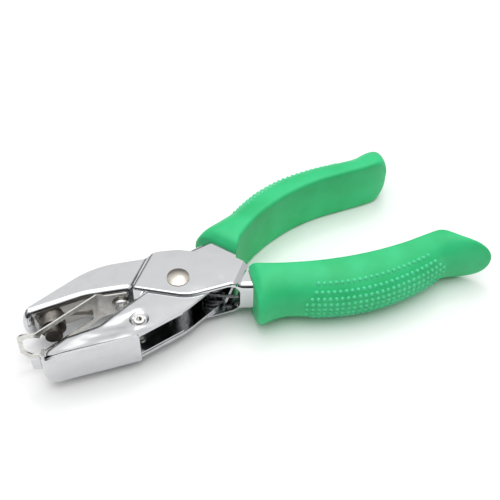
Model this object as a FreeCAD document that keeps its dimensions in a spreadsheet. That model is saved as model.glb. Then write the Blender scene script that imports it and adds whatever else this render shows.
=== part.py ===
import FreeCAD, Part
import math
import os
import Sketcher

# Plier-type single hole punch, lying on its side in its rest pose with the jaws open.
# Plan: the pivot axis is Z, +X runs from the jaws to the handles and +Y to the far jaw.
# Every sub-part is drawn about the pivot at mid height and then lifted by one placement.
# Lengths in millimetres, angles in degrees.

sizes = {
    # pressed sheet of the two levers
    "sheetWall": 1.2,          # sheet thickness of both levers
    "leverHalf": 6.75,         # half the outer height of a lever channel
    "slideGap": 0.1,           # play between the nested plates at the pivot
    "bendRadius": 2.3,         # outside radius where a flange turns into the web
    "lipRadius": 0.9,          # rounding of the cut edge beside the pivot
    "foldRadius": 1.6,         # rounding of the stepped folds in the plates
    "foldAngle": 46.0,         # direction of both folds, seen in plan
    "foldFront": 13.7,         # front fold, distance from the pivot across the fold
    "foldRear": 19.95,         # rear fold, distance from the pivot across the fold
    "foldFrontRun": 1.8,       # width of the front step
    "foldRearRun": 2.5,        # width of the rear step
    "jawReach": 54.2,          # pivot to the nose of the punch jaw
    "dieReach": 51.9,          # pivot to the nose of the die jaw
    "punchWebLine": 6.7,       # punch jaw face, above the tool axis
    "dieWebLine": 6.75,        # die jaw face, below the tool axis
    "slotFront": 17.5,         # front end of the opening in the punch lever's web
    "slotRear": 18.6,          # rear end of the same opening
    "punchTail": 88.0,         # end of the punch lever inside its grip
    "dieTail": 84.0,           # end of the die lever inside its grip
    # pivot
    "rivetRadius": 3.0,
    "runningFit": 0.05,        # radial play of every turning fit
    "pressFit": 0.01,          # radial play of every fixed fit
    "rivetHeadRadius": 3.95,
    "rivetHeadHeight": 1.1,
    "sleeveRadius": 4.3,
    # punch and die
    "closeAngle": 8.5,         # turn of the punch lever from open to closed
    "punchLean": 10.5,         # lean of the punch when the tool is open
    "punchReach": 45.2,        # pivot to the centre of the die hole
    "holeRadius": 3.0,         # radius of the punched hole
    "dieClearance": 0.11,      # pin to die, radial
    "collarRadius": 4.5,
    "collarStem": 3.9,         # radius of the collar's stem in the web
    "pinReach": 3.3,           # length of pin that stands out of the collar
    "pinEntry": 1.0,           # depth of the pin in the die when closed
    "bushRadius": 3.9,
    "bushHeight": 2.6,
    # stripper leaf
    "leafWall": 0.5,
    "leafHalf": 6.7,           # half the width of the leaf
    "leafStrip": 2.0,          # width of its two arms
    "leafBend": 28.0,          # pivot to the bend where the arms leave the jaw
    "leafTip": 52.4,           # pivot to the bend of the front loop
    "leafDrop": 2.4,           # height of that bend, below the tool axis
    "leafFront": 57.9,         # pivot to the front of the loop
    "leafPlay": 0.1,           # leaf to jaw face
    "eyeletX": 20.4,           # pivot to the rivet of the leaf
    "eyeletRadius": 3.1,
    "eyeletBore": 1.7,
    "eyeletPlay": 0.75,        # room for the leaf under the rivet's ring
    # chip cover
    "coverWall": 0.8,
    "coverHalf": 7.05,
    "coverReach": 53.2,        # pivot to the nose of the cover
    "coverCorner": 5.0,        # rounding of its front corners
    "earGap": 0.2,             # ear of the cover to the flange
    "hingeX": 18.4,            # pivot to the cover's hinge
    "hingeY": 10.5,
    "hingeRadius": 1.6,
    "hingeHead": 2.3,
    "hingeBore": 0.9,
    "dishRadius": 3.4,
    "dishDepth": 0.55,
    "tabHalf": 2.5,
    # return spring
    "wireRadius": 0.65,
    "coilRadius": 3.5,         # centre line
    "coilX": 13.2,
    "coilTurns": 3,            # whole turns, beside the part turn between the legs
    "nearLegLean": 30.0,       # slope of the leg in the punch lever
    "farLegLean": 34.0,        # slope of the leg in the die lever
    "legLength": 24.0,
    "coilPitch": 2.3,
    # grips
    "gripHalf": 11.0,
    # place of the whole part
    "pivotX": -26.46,          # pivot, from the middle of the overall length
}

doc = FreeCAD.newDocument("single_hole_punch")
sheet = doc.addObject("Spreadsheet::Sheet", "Sizes")
for row, (alias, number) in enumerate(sizes.items(), start=1):
    sheet.set("A%d" % row, alias)
    sheet.set("B%d" % row, str(number))
    sheet.setAlias("B%d" % row, alias)
doc.recompute()


class Size:
    """A value with the sheet formula that it comes from."""

    def __init__(self, value, text):
        self.value = value
        self.text = text

    def join(self, other, sign, turned=False):
        other = other if isinstance(other, Size) else Size(float(other), repr(float(other)))
        left, right = (other, self) if turned else (self, other)
        value = {"+": left.value + right.value, "-": left.value - right.value,
                 "*": left.value * right.value}[sign]
        return Size(value, "(%s %s %s)" % (left.text, sign, right.text))

    def __add__(self, other):
        return self.join(other, "+")

    def __radd__(self, other):
        return self.join(other, "+", True)

    def __sub__(self, other):
        return self.join(other, "-")

    def __rsub__(self, other):
        return self.join(other, "-", True)

    def __mul__(self, other):
        return self.join(other, "*")

    def __rmul__(self, other):
        return self.join(other, "*", True)

    def __neg__(self):
        return Size(-self.value, "(-1 * %s)" % self.text)


def size(alias):
    return Size(float(sheet.get(alias)), "Sizes." + alias)


def number(item):
    return item.value if isinstance(item, Size) else float(item)


def bind(thing, path, item):
    if isinstance(item, Size):
        thing.setExpression(path, item.text)


def turned(x, y, angle):
    """A plan point turned about the pivot."""
    c, s = math.cos(math.radians(angle)), math.sin(math.radians(angle))
    return x * c - y * s, x * s + y * c


def outline(name, corners, placement=None):
    """A closed sketch of straight edges between corners (x, y, rounding), sharp where it is 0."""
    sketch = doc.addObject("Sketcher::SketchObject", name)
    if placement:
        sketch.Placement = placement
    count = len(corners)
    points = [FreeCAD.Vector(number(x), number(y), 0) for x, y, r in corners]
    cuts = []
    for i in range(count):
        here, before, after = points[i], points[i - 1], points[(i + 1) % count]
        inward = (before - here).normalize()
        outward = (after - here).normalize()
        half = inward.getAngle(outward) / 2
        reach = number(corners[i][2]) / math.tan(half)
        middle = here + (inward + outward).normalize() * (number(corners[i][2]) / math.sin(half))
        left = (here - before).cross(after - here).z > 0
        cuts.append((here + inward * reach, here + outward * reach, middle, left, reach))
    for i in range(count):
        spare = (points[i] - points[i - 1]).Length - cuts[i][4] - cuts[i - 1][4]
        if spare < 0.01:
            raise RuntimeError("%s: no straight left before corner %d (%.2f)" % (name, i, spare))
    lines, arcs, marks = [], [], []
    for i in range(count):
        lines.append(sketch.addGeometry(Part.LineSegment(cuts[i][1], cuts[(i + 1) % count][0]), False))
    for i in range(count):
        start, end, middle, left, reach = cuts[i]
        arc = None
        if reach > 0:
            first, last = (start, end) if left else (end, start)
            circle = Part.Circle(middle, FreeCAD.Vector(0, 0, 1), number(corners[i][2]))
            arc = sketch.addGeometry(
                Part.ArcOfCircle(circle, circle.parameter(first), circle.parameter(last)), False)
        arcs.append(arc)
        marks.append(sketch.addGeometry(Part.Point(points[i]), True))
    for i in range(count):
        x, y, r = corners[i]
        if arcs[i] is None:
            sketch.addConstraint(Sketcher.Constraint("Coincident", lines[i - 1], 2, lines[i], 1))
            sketch.addConstraint(Sketcher.Constraint("Coincident", marks[i], 1, lines[i], 1))
        else:
            enter, leave = (1, 2) if cuts[i][3] else (2, 1)
            sketch.addConstraint(Sketcher.Constraint("Tangent", lines[i - 1], 2, arcs[i], enter))
            sketch.addConstraint(Sketcher.Constraint("Tangent", arcs[i], leave, lines[i], 1))
            sketch.addConstraint(Sketcher.Constraint("PointOnObject", marks[i], 1, lines[i - 1]))
            sketch.addConstraint(Sketcher.Constraint("PointOnObject", marks[i], 1, lines[i]))
            at = sketch.addConstraint(Sketcher.Constraint("Radius", arcs[i], number(r)))
            bind(sketch, "Constraints[%d]" % at, r)
        for kind, item in (("DistanceX", x), ("DistanceY", y)):
            at = sketch.addConstraint(Sketcher.Constraint(kind, -1, 1, marks[i], 1, number(item)))
            bind(sketch, "Constraints[%d]" % at, item)
    return sketch


def inset(corners, wall):
    """The same corners moved in by a wall; outward corners lose it from their rounding."""
    depth = number(wall)
    points = [FreeCAD.Vector(number(x), number(y), 0) for x, y, r in corners]
    count = len(points)
    area = sum(points[i - 1].x * points[i].y - points[i].x * points[i - 1].y for i in range(count))
    side = 1 if area > 0 else -1
    moved = []
    for i in range(count):
        ahead = (points[(i + 1) % count] - points[i]).normalize()
        behind = (points[i] - points[i - 1]).normalize()
        normals = [FreeCAD.Vector(-way.y, way.x, 0) * side for way in (behind, ahead)]
        spot = points[i] + (normals[0] + normals[1]) * (depth / (1 + normals[0].dot(normals[1])))
        outward = behind.cross(ahead).z * side > 0
        radius = number(corners[i][2])
        if radius > 0:
            radius = max(radius - depth, 0.3) if outward else radius + depth
        moved.append((spot.x, spot.y, radius))
    return moved


def extrude(name, base, forward, back):
    """A prism of a sketch, so far forward and back along the sketch's normal."""
    prism = doc.addObject("Part::Extrusion", name)
    prism.Base = base
    prism.DirMode = "Normal"
    prism.Solid = True
    prism.LengthFwd = number(forward)
    prism.LengthRev = number(back)
    bind(prism, "LengthFwd", forward)
    bind(prism, "LengthRev", back)
    return prism


def cut(name, base, *tools):
    """The base less each tool."""
    tool = tools[0] if len(tools) == 1 else fuse(name + "Tools", *tools)
    result = doc.addObject("Part::Cut", name)
    result.Base = base
    result.Tool = tool
    return result


def fuse(name, *things):
    result = doc.addObject("Part::MultiFuse", name)
    result.Shapes = list(things)
    return result


def common(name, *things):
    result = doc.addObject("Part::MultiCommon", name)
    result.Shapes = list(things)
    return result


def round_edges(name, base, radii_of):
    """Round the edges that radii_of gives a radius at both ends."""
    doc.recompute()
    picked = []
    for index, edge in enumerate(base.Shape.Edges, start=1):
        radii = radii_of(edge)
        if radii:
            picked.append((index, radii[0], radii[1]))
    result = doc.addObject("Part::Fillet", name)
    result.Base = base
    result.Edges = picked
    return result


def cylinder(name, radius, height, place, turn=None):
    """A cylinder that starts at a place and runs along its turned axis."""
    rod = doc.addObject("Part::Cylinder", name)
    rod.Radius = number(radius)
    rod.Height = number(height)
    bind(rod, "Radius", radius)
    bind(rod, "Height", height)
    rod.Placement = FreeCAD.Placement(
        FreeCAD.Vector(*[number(c) for c in place]), turn or FreeCAD.Rotation())
    return rod


def cone(name, low, high, height, place, turn=None):
    body = doc.addObject("Part::Cone", name)
    body.Radius1 = number(low)
    body.Radius2 = number(high)
    body.Height = number(height)
    bind(body, "Radius1", low)
    bind(body, "Radius2", high)
    bind(body, "Height", height)
    body.Placement = FreeCAD.Placement(
        FreeCAD.Vector(*[number(c) for c in place]), turn or FreeCAD.Rotation())
    return body


def middle_of(edge):
    return edge.valueAt((edge.FirstParameter + edge.LastParameter) / 2)


def on_outline(sketch, edge):
    """True where an edge runs along a sketch's outline, seen in plan."""
    point = middle_of(edge)
    spot = Part.Vertex(FreeCAD.Vector(point.x, point.y, 0))
    return sketch.Shape.distToShape(spot)[0] < 1e-3


def node(label, shape_object):
    """Give a sub-part its name and its place above the surface that the part rests on."""
    shape_object.Label = label
    part = doc.addObject("Part::Compound", label + "_node")
    part.Links = [shape_object]
    part.Label = label + "_placed"
    bind(part, "Placement.Base.x", size("pivotX"))
    bind(part, "Placement.Base.z", size("gripHalf"))
    nodes.append((label, part))


nodes = []
wall = size("sheetWall")
leverHalf = size("leverHalf")
raisedHalf = leverHalf + size("slideGap") + wall
fit = size("runningFit")
press = size("pressFit")
upright = FreeCAD.Rotation()
upsideDown = FreeCAD.Rotation(FreeCAD.Vector(1, 0, 0), 180)
downY = FreeCAD.Rotation(FreeCAD.Vector(1, 0, 0), 90)      # axis along -Y
closed = number(size("closeAngle"))

# elevation plane seen from the front: sketch x is X, sketch y is Z, its normal is -Y
elevation = FreeCAD.Placement(FreeCAD.Vector(), downY)

# punch lever: far jaw, raised plates at the pivot, near handle; its web faces -Y
farSide = 34.0                     # drawing limit beyond the open side
punchWeb = [
    (-size("jawReach"), farSide, 0),
    (-size("jawReach"), size("punchWebLine"), 3.4),
    (-32.0, size("punchWebLine"), 24.0),
    (-17.8, 3.4, 6.0),
    (0.0, -8.9, 15.0),
    (15.8, -10.4, 10.0),
    (25.0, -14.4, 30.0),
    (58.0, -28.6, 0.6),
    (size("punchTail"), -28.2, 0),
    (size("punchTail"), farSide, 0),
]
punchRim = [
    (-60.0, -40.0, 0),
    (100.0, -40.0, 0),
    (100.0, -22.3, 0),
    (62.0, -21.6, 0.6),
    (42.0, -15.8, 0.6),
    (27.6, -9.8, 5.0),
    (22.3, 1.4, 19.0),
    (4.5, 12.2, 8.0),
    (-2.6, 14.3, 6.0),
    (-7.0, 13.8, 8.0),
    (-25.2, 17.7, 32.0),
    (-51.9, 9.15, 2.4),
    (-53.9, 5.6, 0.5),
    (-60.0, 5.6, 0),
]
punchPlan = outline("punchPlan", punchWeb)
punchPrism = extrude("punchPrism", punchPlan, raisedHalf, raisedHalf)
punchTrim = extrude("punchTrim", outline("punchRimPlan", punchRim), raisedHalf + 1, raisedHalf + 1)

# the folds are drawn across their own direction and run the width of the lever
foldTurn = number(size("foldAngle"))
across = FreeCAD.Placement(
    FreeCAD.Vector(), FreeCAD.Rotation(FreeCAD.Vector(0, 0, 1), foldTurn - 90).multiply(downY))
foldSpan = 150.0


def fold_profile(name, lower, upper, shift):
    """Section of the plates: low at both ends and raised between the two folds."""
    front, rear = size("foldFront"), size("foldRear")
    frontRun, rearRun = size("foldFrontRun") * 0.5, size("foldRearRun") * 0.5
    soft = size("foldRadius")
    knots = [(-front - frontRun + shift, lower), (-front + frontRun + shift, upper),
             (rear - rearRun - shift, upper), (rear + rearRun - shift, lower)]
    top = [(x, z, soft) for x, z in knots]
    foot = [(x, -z, soft) for x, z in reversed(knots)]
    ends = [(foldSpan, lower, 0.5), (foldSpan, -lower, 0.5)]
    starts = [(-foldSpan, -lower, 0.5), (-foldSpan, lower, 0.5)]
    return outline(name, top + ends + foot + starts, across)


foldOuter = extrude("foldOuter", fold_profile("foldOuterPlan", leverHalf, raisedHalf, 0.0),
                    foldSpan, foldSpan)
foldShift = wall * 0.29            # keeps the sheet's thickness through the step
foldInner = extrude("foldInner", fold_profile("foldInnerPlan", leverHalf - wall, raisedHalf - wall,
                                              foldShift), foldSpan, foldSpan)
punchBlank = common("punchBlank", punchPrism, foldOuter)


class Side:
    """A lever's plan with the side that its channel opens to and the end of its handle."""

    def __init__(self, plan, openSide, tail):
        self.plan = plan
        self.openSide = openSide
        self.tail = tail


def web_rounding(side):
    """Radii along the web side: the bend's on the low plates, the lip's on the raised ones."""
    low, high = number(leverHalf), number(raisedHalf)
    bend, lip = number(size("bendRadius")), number(size("lipRadius"))

    def radii(edge):
        point = middle_of(edge)
        if abs(point.z) < low - 1e-3 or point.y * side.openSide > farSide - 0.1:
            return None
        if point.x > side.tail - 0.1 or not on_outline(side.plan, edge):
            return None
        ends = [edge.valueAt(edge.FirstParameter), edge.valueAt(edge.LastParameter)]
        shares = [(abs(end.z) - low) / (high - low) for end in ends]
        return [bend + (lip - bend) * min(max(share, 0.0), 1.0) for share in shares]

    return radii


punchSide = Side(punchPlan, 1, number(size("punchTail")))
punchSkin = round_edges("punchSkin", punchBlank, web_rounding(punchSide))
punchRoom = extrude("punchRoom", outline("punchInset", inset(punchWeb, wall)), raisedHalf, raisedHalf)
punchHollow = common("punchHollow", punchRoom, foldInner)

slotHalf = raisedHalf - wall
slotCorners = [
    (-size("slotFront"), -slotHalf, 1.6),
    (size("slotRear"), -slotHalf, 4.2),
    (size("slotRear"), slotHalf, 4.2),
    (-size("slotFront"), slotHalf, 1.6),
]
slotDepthRear, slotDepthFront = 20.0, 3.4
webSlot = extrude("webSlot", outline("slotPlan", slotCorners, elevation), slotDepthRear, slotDepthFront)
pivotHole = cylinder("pivotHole", size("rivetRadius") + fit, raisedHalf * 2, (0, 0, -raisedHalf))

# the punch: its collar's face stands clear of the die by what the pin doesn't enter
punchLean = number(size("punchLean"))
punchAxis = FreeCAD.Rotation(FreeCAD.Vector(0, 0, 1), -punchLean).multiply(downY)
faceLift = number(size("pinReach") - size("pinEntry"))
faceAt = turned(-number(size("punchReach")), faceLift - number(size("dieWebLine")), -closed)
stemLength = 7.4                   # collar face to the stem's peened end inside the channel


def on_punch_axis(out):
    """A point of the open punch's axis, so far out of the collar's face."""
    x, y = faceAt
    lean = math.radians(punchLean)
    return (x - out * math.sin(lean), y - out * math.cos(lean), 0)


def crossing(opened):
    """Where the punch's axis meets the die's face with the tool opened by an angle."""
    x0, y0 = turned(*on_punch_axis(0)[:2], closed - opened)
    x1, y1 = turned(*on_punch_axis(10)[:2], closed - opened)
    share = (-number(size("dieWebLine")) - y0) / (y1 - y0)
    return x0 + (x1 - x0) * share


entryTurn = math.degrees(number(size("pinEntry")) / number(size("punchReach")))
dieX = (crossing(0) + crossing(entryTurn)) / 2
print("punch wanders %.3f mm to each side in the die" % (abs(crossing(0) - crossing(entryTurn)) / 2))
stemHole = cylinder("stemHole", size("collarStem") + press, 12.0, on_punch_axis(-12.0), punchAxis)

# the leaf's rivet stands square to the sloping part of the jaw face
slopeStart = FreeCAD.Vector(-32.0, number(size("punchWebLine")), 0)
slopeEnd = FreeCAD.Vector(-17.8, 3.4, 0)
slope = math.degrees(math.atan2(slopeEnd.y - slopeStart.y, slopeEnd.x - slopeStart.x))
eyeletAxis = FreeCAD.Rotation(FreeCAD.Vector(0, 0, 1), slope).multiply(downY)
eyeletAt = slopeStart + (slopeEnd - slopeStart) * (
    (-number(size("eyeletX")) - slopeStart.x) / (slopeEnd.x - slopeStart.x))
outwardOfJaw = eyeletAxis.multVec(FreeCAD.Vector(0, 0, 1))


def below_jaw(depth):
    """A point on the rivet's axis, so far out of the jaw face."""
    return tuple(eyeletAt + outwardOfJaw * depth)


eyeletStem = 2.3
eyeletHole = cylinder("eyeletHole", eyeletStem + press, 6.0, below_jaw(-3.0), eyeletAxis)
punchOuter = common("punchOuter", punchSkin, punchTrim)
punchLever = cut("punchLever", punchOuter, punchHollow, webSlot, pivotHole, stemHole, eyeletHole)
node("punch_lever", punchLever)

# die lever: near jaw, flat plates at the pivot, far handle; its web faces +Y
dieWeb = [
    (-size("dieReach"), -farSide, 0),
    (size("dieTail"), -farSide, 0),
    (size("dieTail"), 28.2, 0),
    (63.0, 29.3, 0.6),
    (46.0, 26.6, 0.6),
    (18.4, 13.3, 20.0),
    (9.0, 12.2, 8.0),
    (-13.4, 0.3, 15.0),
    (-22.6, -3.0, 20.0),
    (-31.3, -size("dieWebLine"), 5.0),
    (-43.3, -size("dieWebLine"), 6.0),
    (-size("dieReach"), -size("dieWebLine") - 3.4, 3.0),
]
dieRim = [
    (-60.0, 40.0, 0),
    (-60.0, -11.4, 0),
    (-52.4, -11.4, 2.0),
    (-49.6, -13.1, 3.0),
    (-46.0, -13.2, 8.0),
    (-20.5, -16.5, 8.0),
    (-3.0, -13.4, 40.0),
    (15.5, -6.0, 12.0),
    (22.8, 1.6, 2.0),
    (27.5, 10.4, 6.0),
    (45.0, 19.6, 0.6),
    (64.0, 23.6, 0.6),
    (90.0, 23.0, 0),
    (90.0, 40.0, 0),
]
diePlan = outline("diePlan", dieWeb)
diePrism = extrude("diePrism", diePlan, leverHalf, leverHalf)
dieSide = Side(diePlan, -1, number(size("dieTail")))
dieSkin = round_edges("dieSkin", diePrism, web_rounding(dieSide))
dieTrim = extrude("dieTrim", outline("dieRimPlan", dieRim), leverHalf + 1, leverHalf + 1)
dieOuter = common("dieOuter", dieSkin, dieTrim)
roomHalf = leverHalf - wall
dieRoom = extrude("dieRoom", outline("dieInset", inset(dieWeb, wall)), roomHalf, roomHalf)
diePivotHole = cylinder("diePivotHole", size("rivetRadius") + press, leverHalf * 2, (0, 0, -leverHalf))
bushHole = cylinder("bushHole", size("bushRadius") + press, 8.0, (dieX, -2.0, 0), downY)
dishes, earHoles = [], []
for name, up, turn in (("Upper", 1, upright), ("Lower", -1, upsideDown)):
    dishes.append(cone("dish" + name, size("hingeHead") + 0.2, size("dishRadius"),
                       size("dishDepth"),
                       (-size("hingeX"), -size("hingeY"),
                        up * number(leverHalf - size("dishDepth"))), turn))
    earHoles.append(cylinder("hingeHole" + name, size("hingeRadius") + press, 4.0,
                             (-size("hingeX"), -size("hingeY"), up * 4.0), turn))
dieLever = cut("dieLever", dieOuter, dieRoom, diePivotHole, bushHole, *dishes, *earHoles)
node("die_lever", dieLever)


# pivot rivet: a shank with a low domed head at both ends
def low_head(name, seat, radius, height, turn):
    """A low crowned head in two steps, the upper one shallower."""
    up = 1 if turn is upright else -1
    rim = height * 0.4
    lower = cone(name + "Rim", radius - 0.05, radius, rim, (0, 0, up * seat), turn)
    crown = cone(name + "Crown", radius, radius * 0.72, height * 0.42, (0, 0, up * (seat + rim)), turn)
    top = cone(name + "Top", radius * 0.72, radius * 0.3, height * 0.18,
               (0, 0, up * (seat + height * 0.82)), turn)
    return fuse(name, lower, crown, top)


headSeat = raisedHalf + 0.04
shank = cylinder("rivetShank", size("rivetRadius"), headSeat * 2, (0, 0, -headSeat))
heads = [low_head("rivetHead" + name, number(headSeat), number(size("rivetHeadRadius")),
                  number(size("rivetHeadHeight")), turn)
         for name, turn in (("Upper", upright), ("Lower", upsideDown))]
node("pivot_rivet", fuse("pivotRivet", shank, *heads))

# sleeve that keeps the die lever's plates apart under the rivet
sleeveHalf = roomHalf - 0.02
sleeve = cut("pivotSleeve",
             cylinder("sleeveTube", size("sleeveRadius"), sleeveHalf * 2, (0, 0, -sleeveHalf)),
             cylinder("sleeveBore", size("rivetRadius") + press, sleeveHalf * 2, (0, 0, -sleeveHalf)))
node("pivot_sleeve", sleeve)

# punch collar: a boss that sits on the jaw face, with a stem through the web
jawBlock = doc.addObject("Part::Box", "jawBlock")
jawBlock.Length, jawBlock.Width, jawBlock.Height = 30, 20, 30
jawBlock.Placement.Base = FreeCAD.Vector(-60, number(size("punchWebLine")), -15)
bind(jawBlock, "Placement.Base.y", size("punchWebLine"))
boss = cut("collarBoss", cylinder("bossRod", size("collarRadius"), 8.0, on_punch_axis(-8.0), punchAxis),
           jawBlock)
stem = cylinder("collarStemRod", size("collarStem"), stemLength, on_punch_axis(-stemLength), punchAxis)
collarBore = cylinder("collarBore", size("holeRadius") + press, 24.0, on_punch_axis(-12.0), punchAxis)
punchCollar = cut("punchCollar", fuse("collarBody", boss, stem), collarBore)
node("punch_collar", punchCollar)

# punch pin: ground rod with a slightly dished end
pinBack = stemLength - 0.3
pinRod = cylinder("pinRod", size("holeRadius"), size("pinReach") + pinBack,
                  on_punch_axis(-pinBack), punchAxis)
pinDish = doc.addObject("Part::Sphere", "pinDish")
pinDish.Radius = 9.0
pinDish.Placement.Base = FreeCAD.Vector(*on_punch_axis(number(size("pinReach")) + 8.6))
node("punch_pin", cut("punchPin", pinRod, pinDish))

# die bush: hard ring set in the die jaw
bushTop = -number(size("dieWebLine"))
bush = cut("dieBush",
           cylinder("bushRing", size("bushRadius"), size("bushHeight"),
                    (dieX, bushTop, 0), downY),
           cylinder("bushBore", size("holeRadius") + size("dieClearance"), size("bushHeight"),
                    (dieX, bushTop, 0), downY))
node("die_bush", bush)

# stripper leaf: base on the jaw, two arms past the punch and a loop that turns up in front
leafHalfWall = number(size("leafWall")) / 2
leafOff = leafHalfWall + number(size("leafPlay"))
alongJaw = FreeCAD.Vector(math.cos(math.radians(slope)), math.sin(math.radians(slope)), 0)
leafRear = eyeletAt + outwardOfJaw * leafOff + alongJaw * 2.7
bendX = -number(size("leafBend"))
bendPoint = eyeletAt + outwardOfJaw * leafOff + alongJaw * (
    (bendX - eyeletAt.x) / alongJaw.x)
tipPoint = FreeCAD.Vector(-number(size("leafTip")), -number(size("leafDrop")), 0)
frontPoint = FreeCAD.Vector(-number(size("leafFront")), 0.45, 0)


def strip_outline(name, path, half, radius):
    """A bent strip seen from its edge: the path drawn out by half its thickness on both sides."""
    sides = []
    for sign in (1, -1):
        side = []
        for i, point in enumerate(path):
            ways = []
            if i > 0:
                ways.append((point - path[i - 1]).normalize())
            if i < len(path) - 1:
                ways.append((path[i + 1] - point).normalize())
            mean = (ways[0] + ways[-1]).normalize()
            square = FreeCAD.Vector(-mean.y, mean.x, 0)
            lean = math.cos(ways[0].getAngle(mean))
            spot = point + square * (sign * half / lean)
            inner = 0 < i < len(path) - 1
            side.append((spot.x, spot.y, radius if inner else 0.1))
        sides.append(side)
    return outline(name, sides[0] + list(reversed(sides[1])))


leafSide = strip_outline("leafSide", [leafRear, bendPoint, tipPoint, frontPoint], leafHalfWall, 1.6)
leafSheet = extrude("leafSheet", leafSide, size("leafHalf"), size("leafHalf"))
leafHalf, leafStrip = size("leafHalf"), size("leafStrip")
baseHalf = 5.3                     # the base is a little narrower than the arms
leafCorners = [
    (-17.7, -baseHalf, 0.8),
    (-17.7, baseHalf, 0.8),
    (-25.5, baseHalf, 2.0),
    (-28.5, leafHalf, 2.0),
    (-size("leafFront") - 0.6, leafHalf, 5.0),
    (-size("leafFront") - 0.6, -leafHalf, 5.0),
    (-28.5, -leafHalf, 2.0),
    (-25.5, -baseHalf, 2.0),
]
leafBlank = extrude("leafBlank", outline("leafPlan", leafCorners, elevation), 30.0, 30.0)
inner = leafHalf - leafStrip
cusp = inner - 1.3                 # two cusps reach in just ahead of the pin
windowCorners = [
    (-30.5, -inner, 1.4),
    (-30.5, inner, 1.4),
    (-49.9, inner, 0.5),
    (-51.0, cusp, 0.35),
    (-52.1, inner, 0.5),
    (-size("leafFront") + leafStrip - 0.6, inner, 3.1),
    (-size("leafFront") + leafStrip - 0.6, -inner, 3.1),
    (-52.1, -inner, 0.5),
    (-51.0, -cusp, 0.35),
    (-49.9, -inner, 0.5),
]
leafWindow = extrude("leafWindow", outline("windowPlan", windowCorners, elevation), 30.0, 30.0)
leafHole = cylinder("leafHole", eyeletStem + 0.25, 8.0, below_jaw(-3.0), eyeletAxis)
stripperLeaf = cut("stripperLeaf", common("leafBody", leafSheet, leafBlank), leafWindow, leafHole)
node("stripper_leaf", stripperLeaf)

# rivet of the leaf: a hollow rivet with a rolled ring below and a flat ring behind the web
ringSeat = number(size("leafWall") + size("leafPlay") + size("eyeletPlay"))
ringHeight = 0.8
ringLow = cone("ringLow", size("eyeletRadius"), size("eyeletRadius") - 0.5, ringHeight,
               below_jaw(ringSeat), eyeletAxis)
backHeight = 0.6
ringBack = cylinder("ringBack", size("eyeletRadius") - 0.1, backHeight,
                    below_jaw(-number(wall) - backHeight - 0.02), eyeletAxis)
eyeletRod = cylinder("eyeletRod", eyeletStem, ringSeat + number(wall) + 0.3, below_jaw(-number(wall) - 0.2),
                     eyeletAxis)
eyeletBore = cylinder("eyeletBoreRod", size("eyeletBore"), 8.0, below_jaw(-4.0), eyeletAxis)
node("stripper_rivet", cut("stripperRivet", fuse("eyeletBody", ringLow, ringBack, eyeletRod), eyeletBore))

# chip cover: a bent plate over the open side of the die jaw, with two ears inside the flanges
coverWall = size("coverWall")
coverCorners = [
    (-size("coverReach"), 5.0, 0),
    (-size("coverReach"), -14.1, 3.6),
    (-size("coverReach") + 7.2, -14.6, 12.0),
    (-10.0, -18.75, 0),
    (-10.0, 5.0, 0),
]
coverHalf = size("coverHalf")
coverBlock = extrude("coverBlock", outline("coverPlan", coverCorners), coverHalf, coverHalf)
coverRoom = extrude("coverRoom", outline("coverInset", inset(coverCorners, coverWall)),
                    coverHalf + 1, coverHalf + 1)
coverLimit = doc.addObject("Part::Box", "coverLimit")
coverLimit.Length, coverLimit.Width, coverLimit.Height = 60, 20, 40
coverLimit.Placement.Base = FreeCAD.Vector(-60, -29.4, -20)
coverRear = -20.9
frontCorners = [
    (-size("coverReach") - 0.1, -coverHalf, size("coverCorner")),
    (coverRear, -coverHalf, 0.6),
    (coverRear, coverHalf, 0.6),
    (-size("coverReach") - 0.1, coverHalf, size("coverCorner")),
]
coverFront = extrude("coverFront", outline("frontPlan", frontCorners, elevation), 30.0, 0.0)
coverPlate = common("coverPlate", cut("coverBand", coverBlock, coverRoom), coverFront, coverLimit)
earOuter = leverHalf - wall - size("earGap")
earCorners = [
    (-size("coverReach") + 9.2, -14.45, 0.3),
    (-22.0, -17.0, 0.6),
    (-20.6, -16.2, 0.8),
    (-3.2, -13.0, 0.8),
    (-3.2, -9.8, 1.0),
    (-13.6, -6.9, 3.0),
    (-22.4, -6.9, 3.0),
    (-27.0, -11.2, 3.0),
    (-size("coverReach") + 9.2, -11.2, 1.0),
]
earPlan = outline("earPlan", earCorners)
earUpper = extrude("earUpper", earPlan, earOuter, -(earOuter - coverWall))
earLower = extrude("earLower", earPlan, -(earOuter - coverWall), earOuter)
tabCorners = [
    (-size("coverReach") + 0.2, -10.4, 0.25),
    (-size("coverReach") + 0.2, -9.4, 0.25),
    (-size("coverReach") - 2.7, -8.1, 0.3),
    (-size("coverReach") - 2.7, -9.1, 0.3),
]
tabBlock = extrude("tabBlock", outline("tabPlan", tabCorners), size("tabHalf"), size("tabHalf"))
earHole = cylinder("earHole", size("hingeRadius") + fit, 20.0, (-size("hingeX"), -size("hingeY"), -10))
chipCover = cut("chipCover", fuse("coverBody", coverPlate, earUpper, earLower, tabBlock), earHole)
node("chip_cover", chipCover)

# cover eyelets: hollow rivets that the cover swings on, one in each flange
for label, up, turn in (("upper", 1, upright), ("lower", -1, upsideDown)):
    seat = number(leverHalf - size("dishDepth"))
    tube = cylinder(label + "EyeletTube", size("hingeRadius"), seat - 4.2,
                    (-size("hingeX"), -size("hingeY"), up * 4.2), turn)
    top = cone(label + "EyeletHead", size("hingeHead"), size("hingeHead") - 0.45, 0.5,
               (-size("hingeX"), -size("hingeY"), up * seat), turn)
    hollow = cylinder(label + "EyeletBore", size("hingeBore"), 20.0,
                      (-size("hingeX"), -size("hingeY"), -10))
    node("cover_eyelet_" + label, cut(label + "Eyelet", fuse(label + "EyeletBody", tube, top), hollow))


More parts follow.
